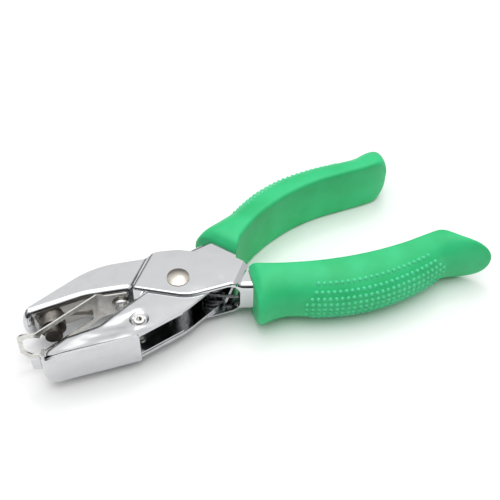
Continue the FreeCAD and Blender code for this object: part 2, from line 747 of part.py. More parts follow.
# return spring: close turns about an upright axis, with one leg into each handle
def spring_wire():
    """Centre line: two straight legs and a helix between them, in pairs of tangent arcs."""
    radius, pitch = number(size("coilRadius")), number(size("coilPitch"))
    centre = number(size("coilX"))
    nearLean, farLean = number(size("nearLegLean")), number(size("farLegLean"))
    sweep = 180.0 - nearLean - farLean + 360.0 * number(size("coilTurns"))
    steps = int(math.ceil(sweep / 180.0))
    first = math.radians(-90.0 - nearLean)
    stride = math.radians(sweep / steps)
    height = pitch * sweep / 360.0

    def at(step):
        angle = first - stride * step
        return FreeCAD.Vector(centre + radius * math.cos(angle), radius * math.sin(angle),
                              height * (step / steps - 0.5))

    def way(step):
        angle = first - stride * step
        rise = height / steps if 0 < step < steps else 0.0
        return FreeCAD.Vector(radius * stride * math.sin(angle), -radius * stride * math.cos(angle),
                              rise).normalize()

    def arc(start, corner, end):
        inward, outward = (corner - start).normalize(), (end - corner).normalize()
        half = inward.getAngle(outward) / 2
        bend = (corner - start).Length / math.tan(half)
        middle = corner + (outward - inward).normalize() * (bend / math.cos(half) - bend)
        return Part.Arc(start, middle, end).toShape()

    leg = number(size("legLength"))
    edges = [Part.makeLine(at(0) - way(0) * leg, at(0))]
    for step in range(steps):
        start, end, leave, meet = at(step), at(step + 1), way(step), way(step + 1)
        gap = end - start
        a, b, c = 2 * (1 - leave.dot(meet)), 2 * gap.dot(leave + meet), -gap.dot(gap)
        reach = (math.sqrt(b * b - 4 * a * c) - b) / (2 * a)
        joint = (start + leave * reach + end - meet * reach) * 0.5
        edges.append(arc(start, start + leave * reach, joint))
        edges.append(arc(joint, end - meet * reach, end))
    edges.append(Part.makeLine(at(steps), at(steps) + way(steps) * leg))
    points = [at(step / 16) for step in range(steps * 16 + 1)]
    gap = min((points[i] - points[j]).Length for i in range(len(points)) for j in range(i + 16, len(points)))
    print("spring: least gap to itself %.2f mm" % (gap - 2 * number(size("wireRadius"))))
    return Part.Wire(edges), at(0) - way(0) * leg, way(0)


wirePath, wireStart, wireWay = spring_wire()
wireSides = 6
wireTurn = FreeCAD.Rotation(FreeCAD.Vector(0, 0, 1), wireWay)
section = [wireStart + wireTurn.multVec(FreeCAD.Vector(
    number(size("wireRadius")) * math.cos(2 * math.pi * side / wireSides),
    number(size("wireRadius")) * math.sin(2 * math.pi * side / wireSides), 0))
    for side in range(wireSides)]
ring = Part.makePolygon(section + section[:1])
returnSpring = doc.addObject("Part::Feature", "returnSpring")
returnSpring.Shape = wirePath.makePipeShell([ring], True, False)
node("return_spring", returnSpring)

# grips: soft sleeves, flat inside and round outside, flared at the mouth and at the tail
# each station: inner point, outer point, share of the half height, depth of the round side, inner rounding
punchGripStations = [
    ((24.5, -5.2), (20.8, -22.9), 0.82, 9.5, 0.8),
    ((26.4, -6.2), (23.2, -22.8), 1.03, 10.2, 1.0),
    ((29.6, -7.9), (29.4, -22.6), 1.03, 11.0, 1.4),
    ((38.0, -11.2), (39.6, -26.8), 1.03, 12.8, 1.4),
    ((51.0, -15.2), (53.4, -32.2), 1.03, 13.2, 1.4),
    ((68.0, -18.5), (70.0, -33.9), 1.03, 12.8, 1.4),
    ((86.0, -19.2), (87.2, -32.0), 1.03, 11.0, 1.4),
    ((94.6, -19.3), (98.0, -30.9), 1.03, 8.6, 1.4),
    ((97.4, -21.3), (106.2, -32.2), 0.97, 7.6, 1.6),
    ((102.4, -25.6), (110.2, -33.0), 0.7, 5.6, 1.6),
    ((107.6, -29.8), (110.9, -32.2), 0.28, 2.2, 0.6),
]
dieGripStations = [
    ((23.5, 3.0), (13.5, 17.9), 0.82, 7.0, 0.8),
    ((25.0, 4.6), (15.8, 18.8), 1.03, 8.2, 1.0),
    ((27.6, 7.2), (18.6, 19.9), 1.03, 10.0, 1.4),
    ((37.0, 13.4), (31.8, 25.3), 1.03, 11.5, 1.4),
    ((48.6, 18.0), (46.0, 31.6), 1.03, 12.0, 1.4),
    ((64.0, 20.8), (63.6, 33.9), 1.03, 11.8, 1.4),
    ((79.0, 20.4), (79.6, 32.5), 1.03, 11.0, 1.4),
    ((90.5, 20.0), (92.5, 32.5), 1.02, 9.6, 1.4),
    ((95.2, 20.5), (97.6, 31.8), 0.84, 8.0, 2.0),
    ((97.8, 21.6), (99.2, 29.6), 0.42, 4.2, 2.0),
    ((98.4, 22.6), (99.4, 28.4), 0.16, 1.6, 0.8),
]
slabPlan = outline("gripSlabPlan", [(-20.0, -60.0, 0), (140.0, -60.0, 0), (140.0, 60.0, 0), (-20.0, 60.0, 0)])
gripSlab = extrude("gripSlab", slabPlan, size("gripHalf"), size("gripHalf"))


def grip(label, stations, handle):
    """A sleeve: a ruled loft through the stations, flat above and below, hollowed by its handle."""
    sections = []
    for index, (near, far, share, depth, edge) in enumerate(stations):
        reach = FreeCAD.Vector(far[0] - near[0], far[1] - near[1], 0)
        turn = FreeCAD.Rotation(FreeCAD.Vector(0, 0, 1), math.degrees(math.atan2(reach.y, reach.x)))
        place = FreeCAD.Placement(FreeCAD.Vector(near[0], near[1], 0), turn.multiply(downY))
        half = size("gripHalf") * share
        tall = number(half)
        lean = math.atan2(tall, depth)
        slant = 0.264 * math.hypot(depth, tall)
        shoulder = min(0.37 * depth, slant) / math.tan(lean / 2)
        side = min(0.37 * tall, slant) / math.tan(math.pi / 4 - lean / 2)
        top = reach.Length - 0.586 * depth
        corners = [(0, -half, edge), (top, -half, shoulder), (reach.Length, half * -0.414, side),
                   (reach.Length, half * 0.414, side), (top, half, shoulder), (0, half, edge)]
        sections.append(outline("%sSection%d" % (label, index), corners, place))
    body = doc.addObject("Part::Loft", label + "Loft")
    body.Sections = sections
    body.Solid = True
    body.Ruled = True
    return cut(label + "Sleeve", common(label + "Flat", body, gripSlab), handle)


node("punch_lever_grip", grip("punchGrip", punchGripStations, punchOuter))
node("die_lever_grip", grip("dieGrip", dieGripStations, dieOuter))

doc.recompute()

# check every object before anything is written
failed = [thing.Name for thing in doc.Objects
          if "Invalid" in thing.State or "Error" in thing.State]
if failed:
    raise RuntimeError("failed objects: " + ", ".join(failed))
for label, part in nodes:
    if part.Shape.isNull() or not part.Shape.isValid() or not part.Shape.Solids:
        raise RuntimeError("bad shape: " + label)

os.makedirs("parts", exist_ok=True)
whole = FreeCAD.BoundBox()
for label, part in nodes:
    box = part.Shape.BoundBox
    whole.add(box)
    print("%-18s solids %d volume %8.1f  x %6.1f %6.1f  y %6.1f %6.1f  z %5.1f %5.1f" % (
        label, len(part.Shape.Solids), part.Shape.Volume,
        box.XMin, box.XMax, box.YMin, box.YMax, box.ZMin, box.ZMax))
    part.Shape.exportStep("parts/%s.step" % label)
print("overall %.2f x %.2f x %.2f, middle x %.2f y %.2f" % (
    whole.XLength, whole.YLength, whole.ZLength, whole.Center.x, whole.Center.y))
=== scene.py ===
import math
import bmesh
import bpy
import numpy as np
from mathutils import Matrix, Vector


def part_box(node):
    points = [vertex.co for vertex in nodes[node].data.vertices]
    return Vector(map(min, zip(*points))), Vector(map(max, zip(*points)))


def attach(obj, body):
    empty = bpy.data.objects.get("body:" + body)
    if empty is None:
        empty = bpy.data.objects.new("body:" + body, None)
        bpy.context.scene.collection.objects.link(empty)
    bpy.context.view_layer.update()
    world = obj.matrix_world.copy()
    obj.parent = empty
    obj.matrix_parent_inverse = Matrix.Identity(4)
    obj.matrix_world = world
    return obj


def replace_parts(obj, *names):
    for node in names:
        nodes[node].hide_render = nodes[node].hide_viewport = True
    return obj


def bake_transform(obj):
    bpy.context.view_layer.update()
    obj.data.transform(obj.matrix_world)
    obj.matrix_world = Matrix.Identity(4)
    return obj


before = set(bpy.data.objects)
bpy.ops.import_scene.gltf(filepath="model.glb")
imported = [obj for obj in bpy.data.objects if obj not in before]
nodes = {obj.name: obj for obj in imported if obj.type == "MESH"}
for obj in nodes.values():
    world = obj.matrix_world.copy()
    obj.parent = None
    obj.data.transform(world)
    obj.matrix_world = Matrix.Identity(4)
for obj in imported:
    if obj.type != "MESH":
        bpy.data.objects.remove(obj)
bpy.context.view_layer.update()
scene = bpy.context.scene
scene.view_settings.view_transform = "Standard"

low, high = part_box("pivot_rivet")
pivot = np.array((low + high) / 2)  # every size below is in millimetres from this point
print("frame loaded, pivot at", np.round(pivot * 1000, 2))


# shader writing

class Signal:
    # one socket of a node tree; arithmetic on it adds Math nodes
    def __init__(self, paint, socket):
        self.paint = paint
        self.socket = socket

    def joined(self, operation, first, second):
        return self.paint.add("ShaderNodeMath", {"operation": operation}, {0: first, 1: second})["Value"]

    def __add__(self, other):
        return self.joined("ADD", self, other)

    def __radd__(self, other):
        return self.joined("ADD", other, self)

    def __sub__(self, other):
        return self.joined("SUBTRACT", self, other)

    def __rsub__(self, other):
        return self.joined("SUBTRACT", other, self)

    def __mul__(self, other):
        return self.joined("MULTIPLY", self, other)

    def __rmul__(self, other):
        return self.joined("MULTIPLY", other, self)

    def __pow__(self, other):
        return self.joined("POWER", self, other)


class Paint:
    # a material, or the world, while its nodes are written
    def __init__(self, name, world=False):
        self.owner = (bpy.data.worlds if world else bpy.data.materials).new(name)
        self.owner.use_nodes = True
        self.tree = self.owner.node_tree
        self.tree.nodes.clear()

    def add(self, kind, settings=None, inputs=None):
        node = self.tree.nodes.new(kind)
        for key, value in (settings or {}).items():
            if key == "stops":
                ramp = node.color_ramp
                while len(ramp.elements) < len(value):
                    ramp.elements.new(0.5)
                for element, (position, colour) in zip(ramp.elements, value):
                    element.position = position
                    element.color = (*colour, 1)
            else:
                setattr(node, key, value)
        for key, value in (inputs or {}).items():
            socket = node.inputs[key] if isinstance(key, int) else \
                next(s for s in node.inputs if s.identifier == key)
            if isinstance(value, Signal):
                self.tree.links.new(value.socket, socket)
            else:
                socket.default_value = value
        return {s.identifier: Signal(self, s) for s in node.outputs}

    def coordinates(self, kind):
        return self.add("ShaderNodeTexCoord")[kind]

    def place(self, scale=1.0, turn=(0, 0, 0), shift=(0, 0, 0)):
        # object coordinates in millimetres, stretched by scale, turned and shifted
        stretch = (1000 * scale,) * 3 if isinstance(scale, float) else tuple(1000 * s for s in scale)
        return self.add("ShaderNodeMapping", {}, {"Vector": self.coordinates("Object"), "Location": shift,
                                                  "Scale": stretch, "Rotation": turn})["Vector"]

    def parts(self, vector):
        return self.add("ShaderNodeSeparateXYZ", {}, {"Vector": vector})

    def noise(self, where, scale, detail=3.0, rough=0.55):
        return self.add("ShaderNodeTexNoise", {}, {"Vector": where, "Scale": scale, "Detail": detail,
                                                   "Roughness": rough})["Fac"]

    def spread(self, value, start, end, toStart=0, toEnd=1):
        return self.add("ShaderNodeMapRange", {"interpolation_type": "SMOOTHSTEP"}, {
            "Value": value, "From Min": start, "From Max": end, "To Min": toStart, "To Max": toEnd})["Result"]

    def patches(self, where, scale, start, end, detail=3.0, rough=0.55):
        # soft-edged patches: noise below start is none, above end full
        return self.spread(self.noise(where, scale, detail, rough), start, end)

    def mixed(self, share, first, second):
        first, second = (c if isinstance(c, Signal) else (*c, 1) for c in (first, second))
        return self.add("ShaderNodeMix", {"data_type": "RGBA"}, {
            "Factor_Float": share, "A_Color": first, "B_Color": second})["Result_Color"]

    def bump(self, height, depth, under=None):
        inputs = {"Height": height, "Distance": depth / 1000, "Strength": 1.0}
        if under:
            inputs["Normal"] = under
        return self.add("ShaderNodeBump", {}, inputs)["Normal"]

    def surface(self, **sockets):
        inputs = {key.replace("_", " "): value for key, value in sockets.items()}
        shader = self.add("ShaderNodeBsdfPrincipled", {}, inputs)["BSDF"]
        self.add("ShaderNodeOutputMaterial", {}, {"Surface": shader})
        return self.owner


# finishes; patches are given by the scale of their noise per millimetre, the noise at which they begin and are
# full, and its detail and roughness; other noise by its scale, detail and roughness; a depth is in millimetres

chromeLook = {
    "light": (0.64, 0.648, 0.66), "dark": (0.54, 0.55, 0.57), "gapShade": (0.36, 0.335, 0.30),
    "wave": (0.09, 1.0), "waveDepth": 0.18,
    "smear": (0.23, 0.42, 0.72, 4.0, 0.6), "smearShade": 0.35, "smearRough": 0.06,
    "pit": (2.6, 0.68, 0.78, 2.0), "pitRough": 0.05,
    "lines": (1.0, 2.0), "lineStretch": (0.25, 9.0, 9.0), "lineDepth": 0.0012,
    "dents": (0.12, 0.6), "dentStretch": (0.9, 1.6, 1.0), "dentTurn": (0, 0, 0.3),
    "jawEdge": (-22, -12),  # dents and the painted shade fade out from the first x to the second
    "noseEdge": (-50.5, -47.5),  # and the painted shade fades in between these, behind the jaw's nose
    "innerFace": (-0.9, -0.6),  # what faces the gap between the jaws, by the normal's y, and gets the painted shade
}


def chromePlate(name, gloss, grain, turn, ripple=0.0, gapShade=0.0):
    # bright plating over pressed sheet: slow waves of the sheet, fine polishing lines, faint smears; ripple is
    # the height of the dents that pressing left near the jaws; the last argument is the share of a brownish
    # painted shade and reflection on the jaw's face toward the shaded gap between the jaws
    look = chromeLook
    jawEdge, noseEdge = (np.array(look[key]) + pivot[0] * 1000 for key in ("jawEdge", "noseEdge"))
    paint = Paint(name)
    where = paint.place()
    x = paint.parts(where)["X"]
    facing = paint.parts(paint.coordinates("Normal"))["Y"]
    jaw = paint.spread(x, *jawEdge, 1, 0)
    # painted shade and reflection: the jaw's face toward the gap between the jaws is mixed towards a brownish
    # dark
    gapShadeShare = jaw * paint.spread(x, *noseEdge) * paint.spread(facing, *look["innerFace"], 1, 0) * gapShade
    smear = paint.patches(where, *look["smear"])
    lines = paint.noise(paint.place(look["lineStretch"], turn), *look["lines"])
    pit = paint.patches(where, *look["pit"])
    colour = paint.mixed(smear * look["smearShade"], look["light"], look["dark"])
    colour = paint.mixed(gapShadeShare, colour, look["gapShade"])
    rough = gloss + smear * look["smearRough"] + (lines - 0.5) * grain + pit * look["pitRough"]
    normal = paint.bump(paint.noise(where, *look["wave"]), look["waveDepth"])
    if ripple:
        dents = paint.noise(paint.place(look["dentStretch"], look["dentTurn"]), *look["dents"])
        normal = paint.bump(dents * jaw, ripple, normal)
    normal = paint.bump(lines, look["lineDepth"], normal)
    return paint.surface(Base_Color=colour, Metallic=1.0, Roughness=rough, Normal=normal)


steelLook = {"cloud": (0.5, 0.35, 0.75, 4.0, 0.6), "cloudShade": 0.7, "cloudRough": 0.08,
             "speck": (3.1, 0.62, 0.75, 2.0), "speckShade": 0.3, "grain": (1.0, 3.0)}


def plainMetal(name, light, dark, gloss, lines, depth, stretch=(0.4, 8.0, 8.0)):
    # bare or nickelled steel: drawn or ground lines in one direction, cloudy darker patches and small specks
    look = steelLook
    paint = Paint(name)
    where = paint.place()
    cloud = paint.patches(where, *look["cloud"])
    speck = paint.patches(where, *look["speck"])
    grain = paint.noise(paint.place(stretch), *look["grain"])
    colour = paint.mixed(cloud * look["cloudShade"] + speck * look["speckShade"], light, dark)
    rough = gloss + cloud * look["cloudRough"] + (grain - 0.5) * lines
    return paint.surface(Base_Color=colour, Metallic=1.0, Roughness=rough, Normal=paint.bump(grain, depth))


punchLook = {"endShade": (0.035, 0.03, 0.026), "endShadeShare": 0.85, "endFace": (-0.95, -0.85), "rough": 0.42,
             "cloud": (0.45, 0.3, 0.7, 4.0, 0.6), "cloudRough": 0.12, "rings": (1.0, 2.0),
             "ringStretch": (0.5, 7.0, 0.5), "ringTurn": (0, 0, 0.18), "ringRough": 0.15, "ringDepth": 0.003}


def punchSteel(name, light, dark):
    # turned and hardened: rings across the punch's axis, cloudy scale, and an end face darkened as painted
    # shade where it looks into the gap between the jaws
    look = punchLook
    paint = Paint(name)
    cloud = paint.patches(paint.place(), *look["cloud"])
    rings = paint.noise(paint.place(look["ringStretch"], look["ringTurn"]), *look["rings"])
    # painted shade: the end face, which looks into the gap between the jaws, is darkened almost to black
    end = paint.spread(paint.parts(paint.coordinates("Normal"))["Y"], *look["endFace"], 1, 0)
    colour = paint.mixed(end * look["endShadeShare"], paint.mixed(cloud, light, dark), look["endShade"])
    rough = look["rough"] + cloud * look["cloudRough"] + (rings - 0.5) * look["ringRough"]
    normal = paint.bump(rings, look["ringDepth"])
    return paint.surface(Base_Color=colour, Metallic=1.0, Roughness=rough, Normal=normal)


rivetLook = {"light": (0.66, 0.62, 0.55), "dark": (0.44, 0.40, 0.34), "rough": 0.22,
             "cloud": (0.6, 0.35, 0.7, 4.0), "cloudShade": 0.5, "cloudRough": 0.08,
             "rim": (2.6, 3.9), "rimPaintedShade": 0.3, "rimRough": 0.06,
             "ringRate": 19.0, "ringRough": 0.02, "ringDepth": 0.0015}


def rivetNickel(name):
    # warm nickel with rings left by the riveting tool, sin(n r) at distance r, duller towards the rim and
    # darkened there as painted shade
    look = rivetLook
    paint = Paint(name)
    centred = paint.place(shift=tuple(-pivot * 1000))
    spot = paint.parts(centred)
    radius = (spot["X"] * spot["X"] + spot["Y"] * spot["Y"]) ** 0.5
    rings = paint.add("ShaderNodeMath", {"operation": "SINE"}, {0: radius * look["ringRate"]})["Value"]
    cloud = paint.patches(centred, *look["cloud"])
    rim = paint.spread(radius, *look["rim"])
    # painted shade: the colour darkens towards the rim of the dome
    colour = paint.mixed(cloud * look["cloudShade"] + rim * look["rimPaintedShade"], look["light"], look["dark"])
    rough = look["rough"] + cloud * look["cloudRough"] + rim * look["rimRough"] + rings * look["ringRough"]
    normal = paint.bump(rings, look["ringDepth"])
    return paint.surface(Base_Color=colour, Metallic=1.0, Roughness=rough, Normal=normal)


gripLook = {"green": (0.042, 0.61, 0.235), "deepGreen": (0.03, 0.53, 0.185), "litStud": (0.12, 0.74, 0.40),
            "deepLitStud": (0.09, 0.68, 0.34), "drift": (0.07, 0.3, 0.7), "rough": 0.48,
            "dusty": (0.35, 0.75, 0.5), "dust": (1.4, 0.66, 0.8, 4.0, 0.7), "dustShade": 0.10,
            "handled": (0.16, 0.45, 0.7), "handledGloss": 0.07,
            "grain": (4.5, 2.0, 0.6), "grainRough": 0.10, "grainDepth": 0.010}


def gripVinyl(name, green, deep):
    # moulded soft vinyl: a fine spark-eroded grain, slow colour drift and handled, glossier patches
    look = gripLook
    paint = Paint(name)
    where = paint.place()
    drift = paint.patches(where, *look["drift"])
    handled = paint.patches(where, *look["handled"])
    grain = paint.noise(where, *look["grain"])
    dust = paint.patches(where, *look["dust"])
    colour = paint.mixed(dust * look["dustShade"], paint.mixed(drift, green, deep), look["dusty"])
    rough = look["rough"] - handled * look["handledGloss"] + (grain - 0.5) * look["grainRough"]
    normal = paint.bump(grain, look["grainDepth"])
    return paint.surface(Base_Color=colour, Roughness=rough, Specular_IOR_Level=0.30, Normal=normal)


finishes = {
    "plate": chromePlate("lever_chrome", gloss=0.10, grain=0.05, turn=(0, 0, 0.2), gapShade=0.8),
    "near": chromePlate("die_lever_chrome", gloss=0.09, grain=0.05, turn=(0, 0, 0.2), ripple=0.75),
    "cover": chromePlate("cover_chrome", gloss=0.13, grain=0.06, turn=(0, 0, -0.1)),
    "pivot": rivetNickel("pivot_nickel"),
    "small": plainMetal("eyelet_nickel", light=(0.80, 0.79, 0.76), dark=(0.55, 0.54, 0.51), gloss=0.20,
                        lines=0.05, depth=0.0010),
    "tool": plainMetal("ground_steel", light=(0.52, 0.51, 0.50), dark=(0.30, 0.29, 0.28), gloss=0.24,
                       lines=0.12, depth=0.0020, stretch=(6.0, 0.5, 6.0)),
    "collar": punchSteel("dark_steel", light=(0.30, 0.285, 0.265), dark=(0.18, 0.165, 0.15)),
    "pin": punchSteel("hardened_steel", light=(0.15, 0.135, 0.12), dark=(0.08, 0.07, 0.06)),
    "leaf": plainMetal("leaf_steel", light=(0.74, 0.73, 0.70), dark=(0.50, 0.49, 0.46), gloss=0.20,
                       lines=0.12, depth=0.0015),
    # the spring wire's greys are darkened as painted shade, for the dark inside of the handle
    "wire": plainMetal("spring_wire_shaded", light=(0.30, 0.31, 0.31), dark=(0.16, 0.17, 0.17), gloss=0.26,
                       lines=0.08, depth=0.0010),
    "grip": gripVinyl("grip_vinyl", gripLook["green"], gripLook["deepGreen"]),
    # the studs get lighter greens than the grip: painted highlight, for the light their tops catch from above
    "studs": gripVinyl("stud_vinyl_lit", gripLook["litStud"], gripLook["deepLitStud"]),
}
print("finishes written:", len(finishes))


# making meshes

def placed(points):
    # a row of places in the frame, from an array of millimetres round the pivot
    return points.reshape(-1, 3) / 1000 + pivot


def pieceFrom(name, vertices, faces, finish, body):
    # a new object at the origin with its place in its mesh
    mesh = bpy.data.meshes.new(name)
    mesh.from_pydata(vertices.tolist(), [], faces.tolist())
    mesh.materials.append(finishes[finish])
    piece = bpy.data.objects.new(name, mesh)
    scene.collection.objects.link(piece)
    if body:
        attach(piece, body)
    return piece


def gridFaces(rows, columns):
    # quads of a grid whose columns run round and close on themselves
    r, c = np.meshgrid(np.arange(rows - 1), np.arange(columns), indexing="ij")
    after = (c + 1) % columns
    quads = [r * columns + c, r * columns + after, (r + 1) * columns + after, (r + 1) * columns + c]
    return np.stack(quads, 2).reshape(-1, 4)


def tidy(piece, smoothBelow, apart=1e-7, flat=0.0):
    # merges what coincides, joins the triangles of flat faces or turns a new piece's faces outwards, and shades
    # smooth below the angle
    shape = bmesh.new()
    shape.from_mesh(piece.data)
    bmesh.ops.remove_doubles(shape, verts=shape.verts, dist=apart)
    if flat:
        bmesh.ops.dissolve_limit(shape, angle_limit=math.radians(flat), verts=shape.verts, edges=shape.edges)
    else:
        bmesh.ops.recalc_face_normals(shape, faces=shape.faces)
    shape.to_mesh(piece.data)
    shape.free()
    piece.data.polygons.foreach_set("use_smooth", np.ones(len(piece.data.polygons), bool))
    piece.data.set_sharp_from_angle(angle=math.radians(smoothBelow))
    return piece


def meshArray(items, key, kind):
    # three values of every vertex or triangle, as rows
    values = np.empty(len(items) * 3, kind)
    items.foreach_get(key, values)
    return values.reshape(-1, 3)


roundedEdge = {"steps": 2, "sharperThan": 38, "smoothBelow": 30, "apart": 2e-6, "flat": 0.3}


def finishedNode(node, finish, body, slot, edge):
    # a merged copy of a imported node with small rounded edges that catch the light
    s = roundedEdge
    source = nodes[node].data
    source.calc_loop_triangles()
    corners = meshArray(source.vertices, "co", np.float32)
    triangles = meshArray(source.loop_triangles, "vertices", np.int32)
    piece = pieceFrom(node + "_piece", corners, triangles, finish, body)
    tidy(piece, s["smoothBelow"], s["apart"], s["flat"])
    bevel = piece.modifiers.new("edge", "BEVEL")
    bevel.width = edge / 1000
    bevel.segments = s["steps"]
    bevel.limit_method = "ANGLE"
    bevel.angle_limit = math.radians(s["sharperThan"])
    level = piece.modifiers.new("shading", "WEIGHTED_NORMAL")
    level.keep_sharp = True
    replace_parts(piece, node)
    return piece


# levers, cover and the small steel pieces

metalPieces = {  # finish, body, slot and width of the rounded edges
    "die_lever": ("near", "die_side", "lever_chrome", 0.14),
    "punch_lever": ("plate", "punch_side", "lever_chrome", 0.14),
    "chip_cover": ("cover", "cover", "lever_chrome", 0.14),
    "pivot_sleeve": ("tool", "die_side", "rivet_nickel", 0.10),
    "punch_collar": ("collar", "punch_side", "lever_chrome", 0.15),
    "punch_pin": ("pin", "punch_side", "tool_steel", 0.05),
    "die_bush": ("tool", "die_side", "tool_steel", 0.08),
    "stripper_leaf": ("leaf", "stripper", "leaf_steel", 0.06),
    "stripper_rivet": ("small", "punch_side", "rivet_nickel", 0.08),
    "cover_eyelet_upper": ("small", "die_side", "rivet_nickel", 0.06),
    "cover_eyelet_lower": ("small", "die_side", "rivet_nickel", 0.06),
}
metal = {node: finishedNode(node, *row) for node, row in metalPieces.items()}
print("metal pieces:", len(metal))


# nose of the punch jaw

noseSizes = {"middle": (-50.76, 8.7), "radius": 2.0, "halfHeight": 6.6, "squareness": 2.9, "bulge": 1.75,
             "bulgeTurn": 215, "rings": 41, "sides": 48, "corner": -50.9, "cornerKept": 0.5}


def punchNose():
    # the drawn nose: rings of radius r (1 - |z / h|^p)^(1/p), carried outwards by bulge (1 - (z / h)^2)
    s = noseSizes
    t = np.linspace(-math.pi / 2, math.pi / 2, s["rings"])[:, None]
    a = np.linspace(0, 2 * math.pi, s["sides"], endpoint=False)[None]
    z = s["halfHeight"] * np.sign(t) * np.abs(np.sin(t)) ** (2 / s["squareness"])
    r = s["radius"] * np.cos(t).clip(0) ** (2 / s["squareness"])
    out = s["bulge"] * (1 - (z / s["halfHeight"]) ** 2)
    way = math.radians(s["bulgeTurn"])
    x = s["middle"][0] + r * np.cos(a) + out * math.cos(way)
    y = s["middle"][1] + r * np.sin(a) + out * math.sin(way)
    points = placed(np.stack([x, y, z + 0 * x], 2))
    faces = gridFaces(s["rings"], s["sides"])
    tidy(pieceFrom("punch_nose", points, faces, "cover", "punch_side"), 60)


def drawnBack(piece):
    # the plates' sharp corner beside the nose: what lies past its x keeps only a share of its distance to it
    edge = pivot[0] + noseSizes["corner"] / 1000
    places = meshArray(piece.data.vertices, "co", np.float32)
    past = places[:, 0] < edge
    places[past, 0] = edge + (places[past, 0] - edge) * noseSizes["cornerKept"]
    piece.data.vertices.foreach_set("co", places.ravel())


punchNose()
drawnBack(metal["punch_lever"])
print("nose made")


# pivot rivet

rivetSizes = {"head": 3.95, "shank": 2.75, "seat": 8.09, "crown": 1.08, "rim": 0.22, "edge": 0.12,
              "rings": 16, "sides": 72}


def pivotRivet():
    # a turned profile: radius r at height z, from one pole to the other; each head is a rim and a low dome
    s = rivetSizes
    reach = np.linspace(1, 0, s["rings"])
    dome = np.stack([s["head"] * reach, s["seat"] + s["rim"] + (s["crown"] - s["rim"]) * (1 - reach ** 2)], 1)
    stem = [[s["shank"], 0.0], [s["shank"], s["seat"]], [s["head"] - s["edge"], s["seat"]],
            [s["head"], s["seat"] + s["edge"]]]
    upper = np.concatenate([stem, dome])
    profile = np.concatenate([upper[:0:-1] * (1, -1), upper])
    angle = np.linspace(0, 2 * math.pi, s["sides"], endpoint=False)
    x = profile[:, :1] * np.cos(angle)
    y = profile[:, :1] * np.sin(angle)
    points = placed(np.stack([x, y, profile[:, 1:] + 0 * x], 2))
    faces = gridFaces(len(profile), s["sides"])
    piece = pieceFrom("pivot_rivet_piece", points, faces, "pivot", "die_side")
    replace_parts(tidy(piece, 35), "pivot_rivet")


pivotRivet()


# return spring; leans are the legs' angles from +X, wound the ends of what bends, across the coil's middle

springSizes = {"wire": 0.65, "radius": 3.5, "middle": 13.2, "turns": 3, "pitch": 2.3, "leg": 24,
               "nearLean": 30, "farLean": 34, "wound": (-3.5, 9.0),
               "stepsPerTurn": 40, "stepsPerLeg": 8, "sides": 14}


def level(degrees):
    # the level direction at an angle from +X
    return np.array([math.cos(math.radians(degrees)), math.sin(math.radians(degrees)), 0])


def springPath():
    # two level legs and the helix between them, which they leave along its tangents
    s = springSizes
    sweep = 180 - s["nearLean"] - s["farLean"] + 360 * s["turns"]
    share = np.linspace(0, 1, int(s["stepsPerTurn"] * (s["turns"] + 0.5)))
    angle = np.radians(-90 - s["nearLean"] - sweep * share)
    climb = s["pitch"] * sweep / 360
    coil = np.stack([s["middle"] + s["radius"] * np.cos(angle), s["radius"] * np.sin(angle),
                     climb * (share - 0.5)], 1)
    reach = np.linspace(s["leg"], 0, s["stepsPerLeg"], endpoint=False)[:, None]
    return np.concatenate([coil[0] + reach * level(-s["nearLean"]), coil,
                           coil[-1] + reach[::-1] * level(s["farLean"])])


def returnSpring():
    # a round wire of radius w along the path: at angle t it is w (side cos t + up sin t) from the path's point
    s = springSizes
    path = springPath()
    along = np.gradient(path, axis=0)
    along /= np.linalg.norm(along, axis=1, keepdims=True)
    side = np.cross(along, (0, 0, 1))
    side /= np.linalg.norm(side, axis=1, keepdims=True)
    up = np.cross(side, along)
    path, side, up = (np.concatenate([v[:1], v, v[-1:]]) for v in (path, side, up))
    wire = np.full((len(path), 1, 1), s["wire"])
    wire[[0, -1]] = 0.0  # both ends close to a point
    turn = np.linspace(0, 2 * math.pi, s["sides"], endpoint=False)[None, :, None]
    tube = path[:, None] + wire * (side[:, None] * np.cos(turn) + up[:, None] * np.sin(turn))
    faces = gridFaces(len(path), s["sides"])
    piece = tidy(pieceFrom("return_spring_piece", placed(tube), faces, "wire", None), 50)
    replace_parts(piece, "return_spring")
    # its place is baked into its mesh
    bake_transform(piece)


returnSpring()
print("rivet and spring made")


# grips; stations: inner point x y, outer point x y, half height, depth of the round side, inner rounding

punchGrip = {
    "body": "punch_side",
    "stations": [
        (24.5, -5.2, 20.8, -22.9, 8.2, 9.5, 0.8), (26.2, -6.1, 23.4, -22.7, 10.4, 10.2, 1.0),
        (28.4, -7.3, 26.6, -22.4, 11.0, 10.9, 1.2), (32.0, -8.9, 32.2, -23.2, 11.0, 11.6, 1.3),
        (38.0, -11.2, 39.6, -26.8, 11.0, 12.8, 1.4), (47.0, -14.2, 49.6, -30.8, 11.0, 13.2, 1.4),
        (58.0, -16.9, 60.4, -33.3, 11.0, 13.2, 1.4), (69.0, -18.6, 70.6, -33.9, 11.0, 12.7, 1.4),
        (80.0, -19.3, 81.2, -33.1, 11.0, 11.8, 1.4), (86.5, -19.2, 88.0, -31.7, 11.0, 10.4, 1.4),
        (90.6, -19.1, 92.6, -30.5, 11.0, 9.4, 1.4), (94.4, -19.2, 98.0, -30.8, 11.0, 8.6, 1.4),
        (96.4, -20.2, 103.6, -31.7, 10.8, 8.0, 1.6), (98.8, -22.4, 107.6, -32.7, 9.9, 7.4, 1.8),
        (101.8, -25.0, 109.8, -33.1, 8.2, 6.2, 1.8), (105.4, -28.0, 110.8, -32.7, 5.4, 4.2, 1.4),
        (108.6, -30.6, 110.9, -32.1, 2.0, 1.6, 0.8)],
    "studStart": 38.0,
    "flare": 4.0,
}
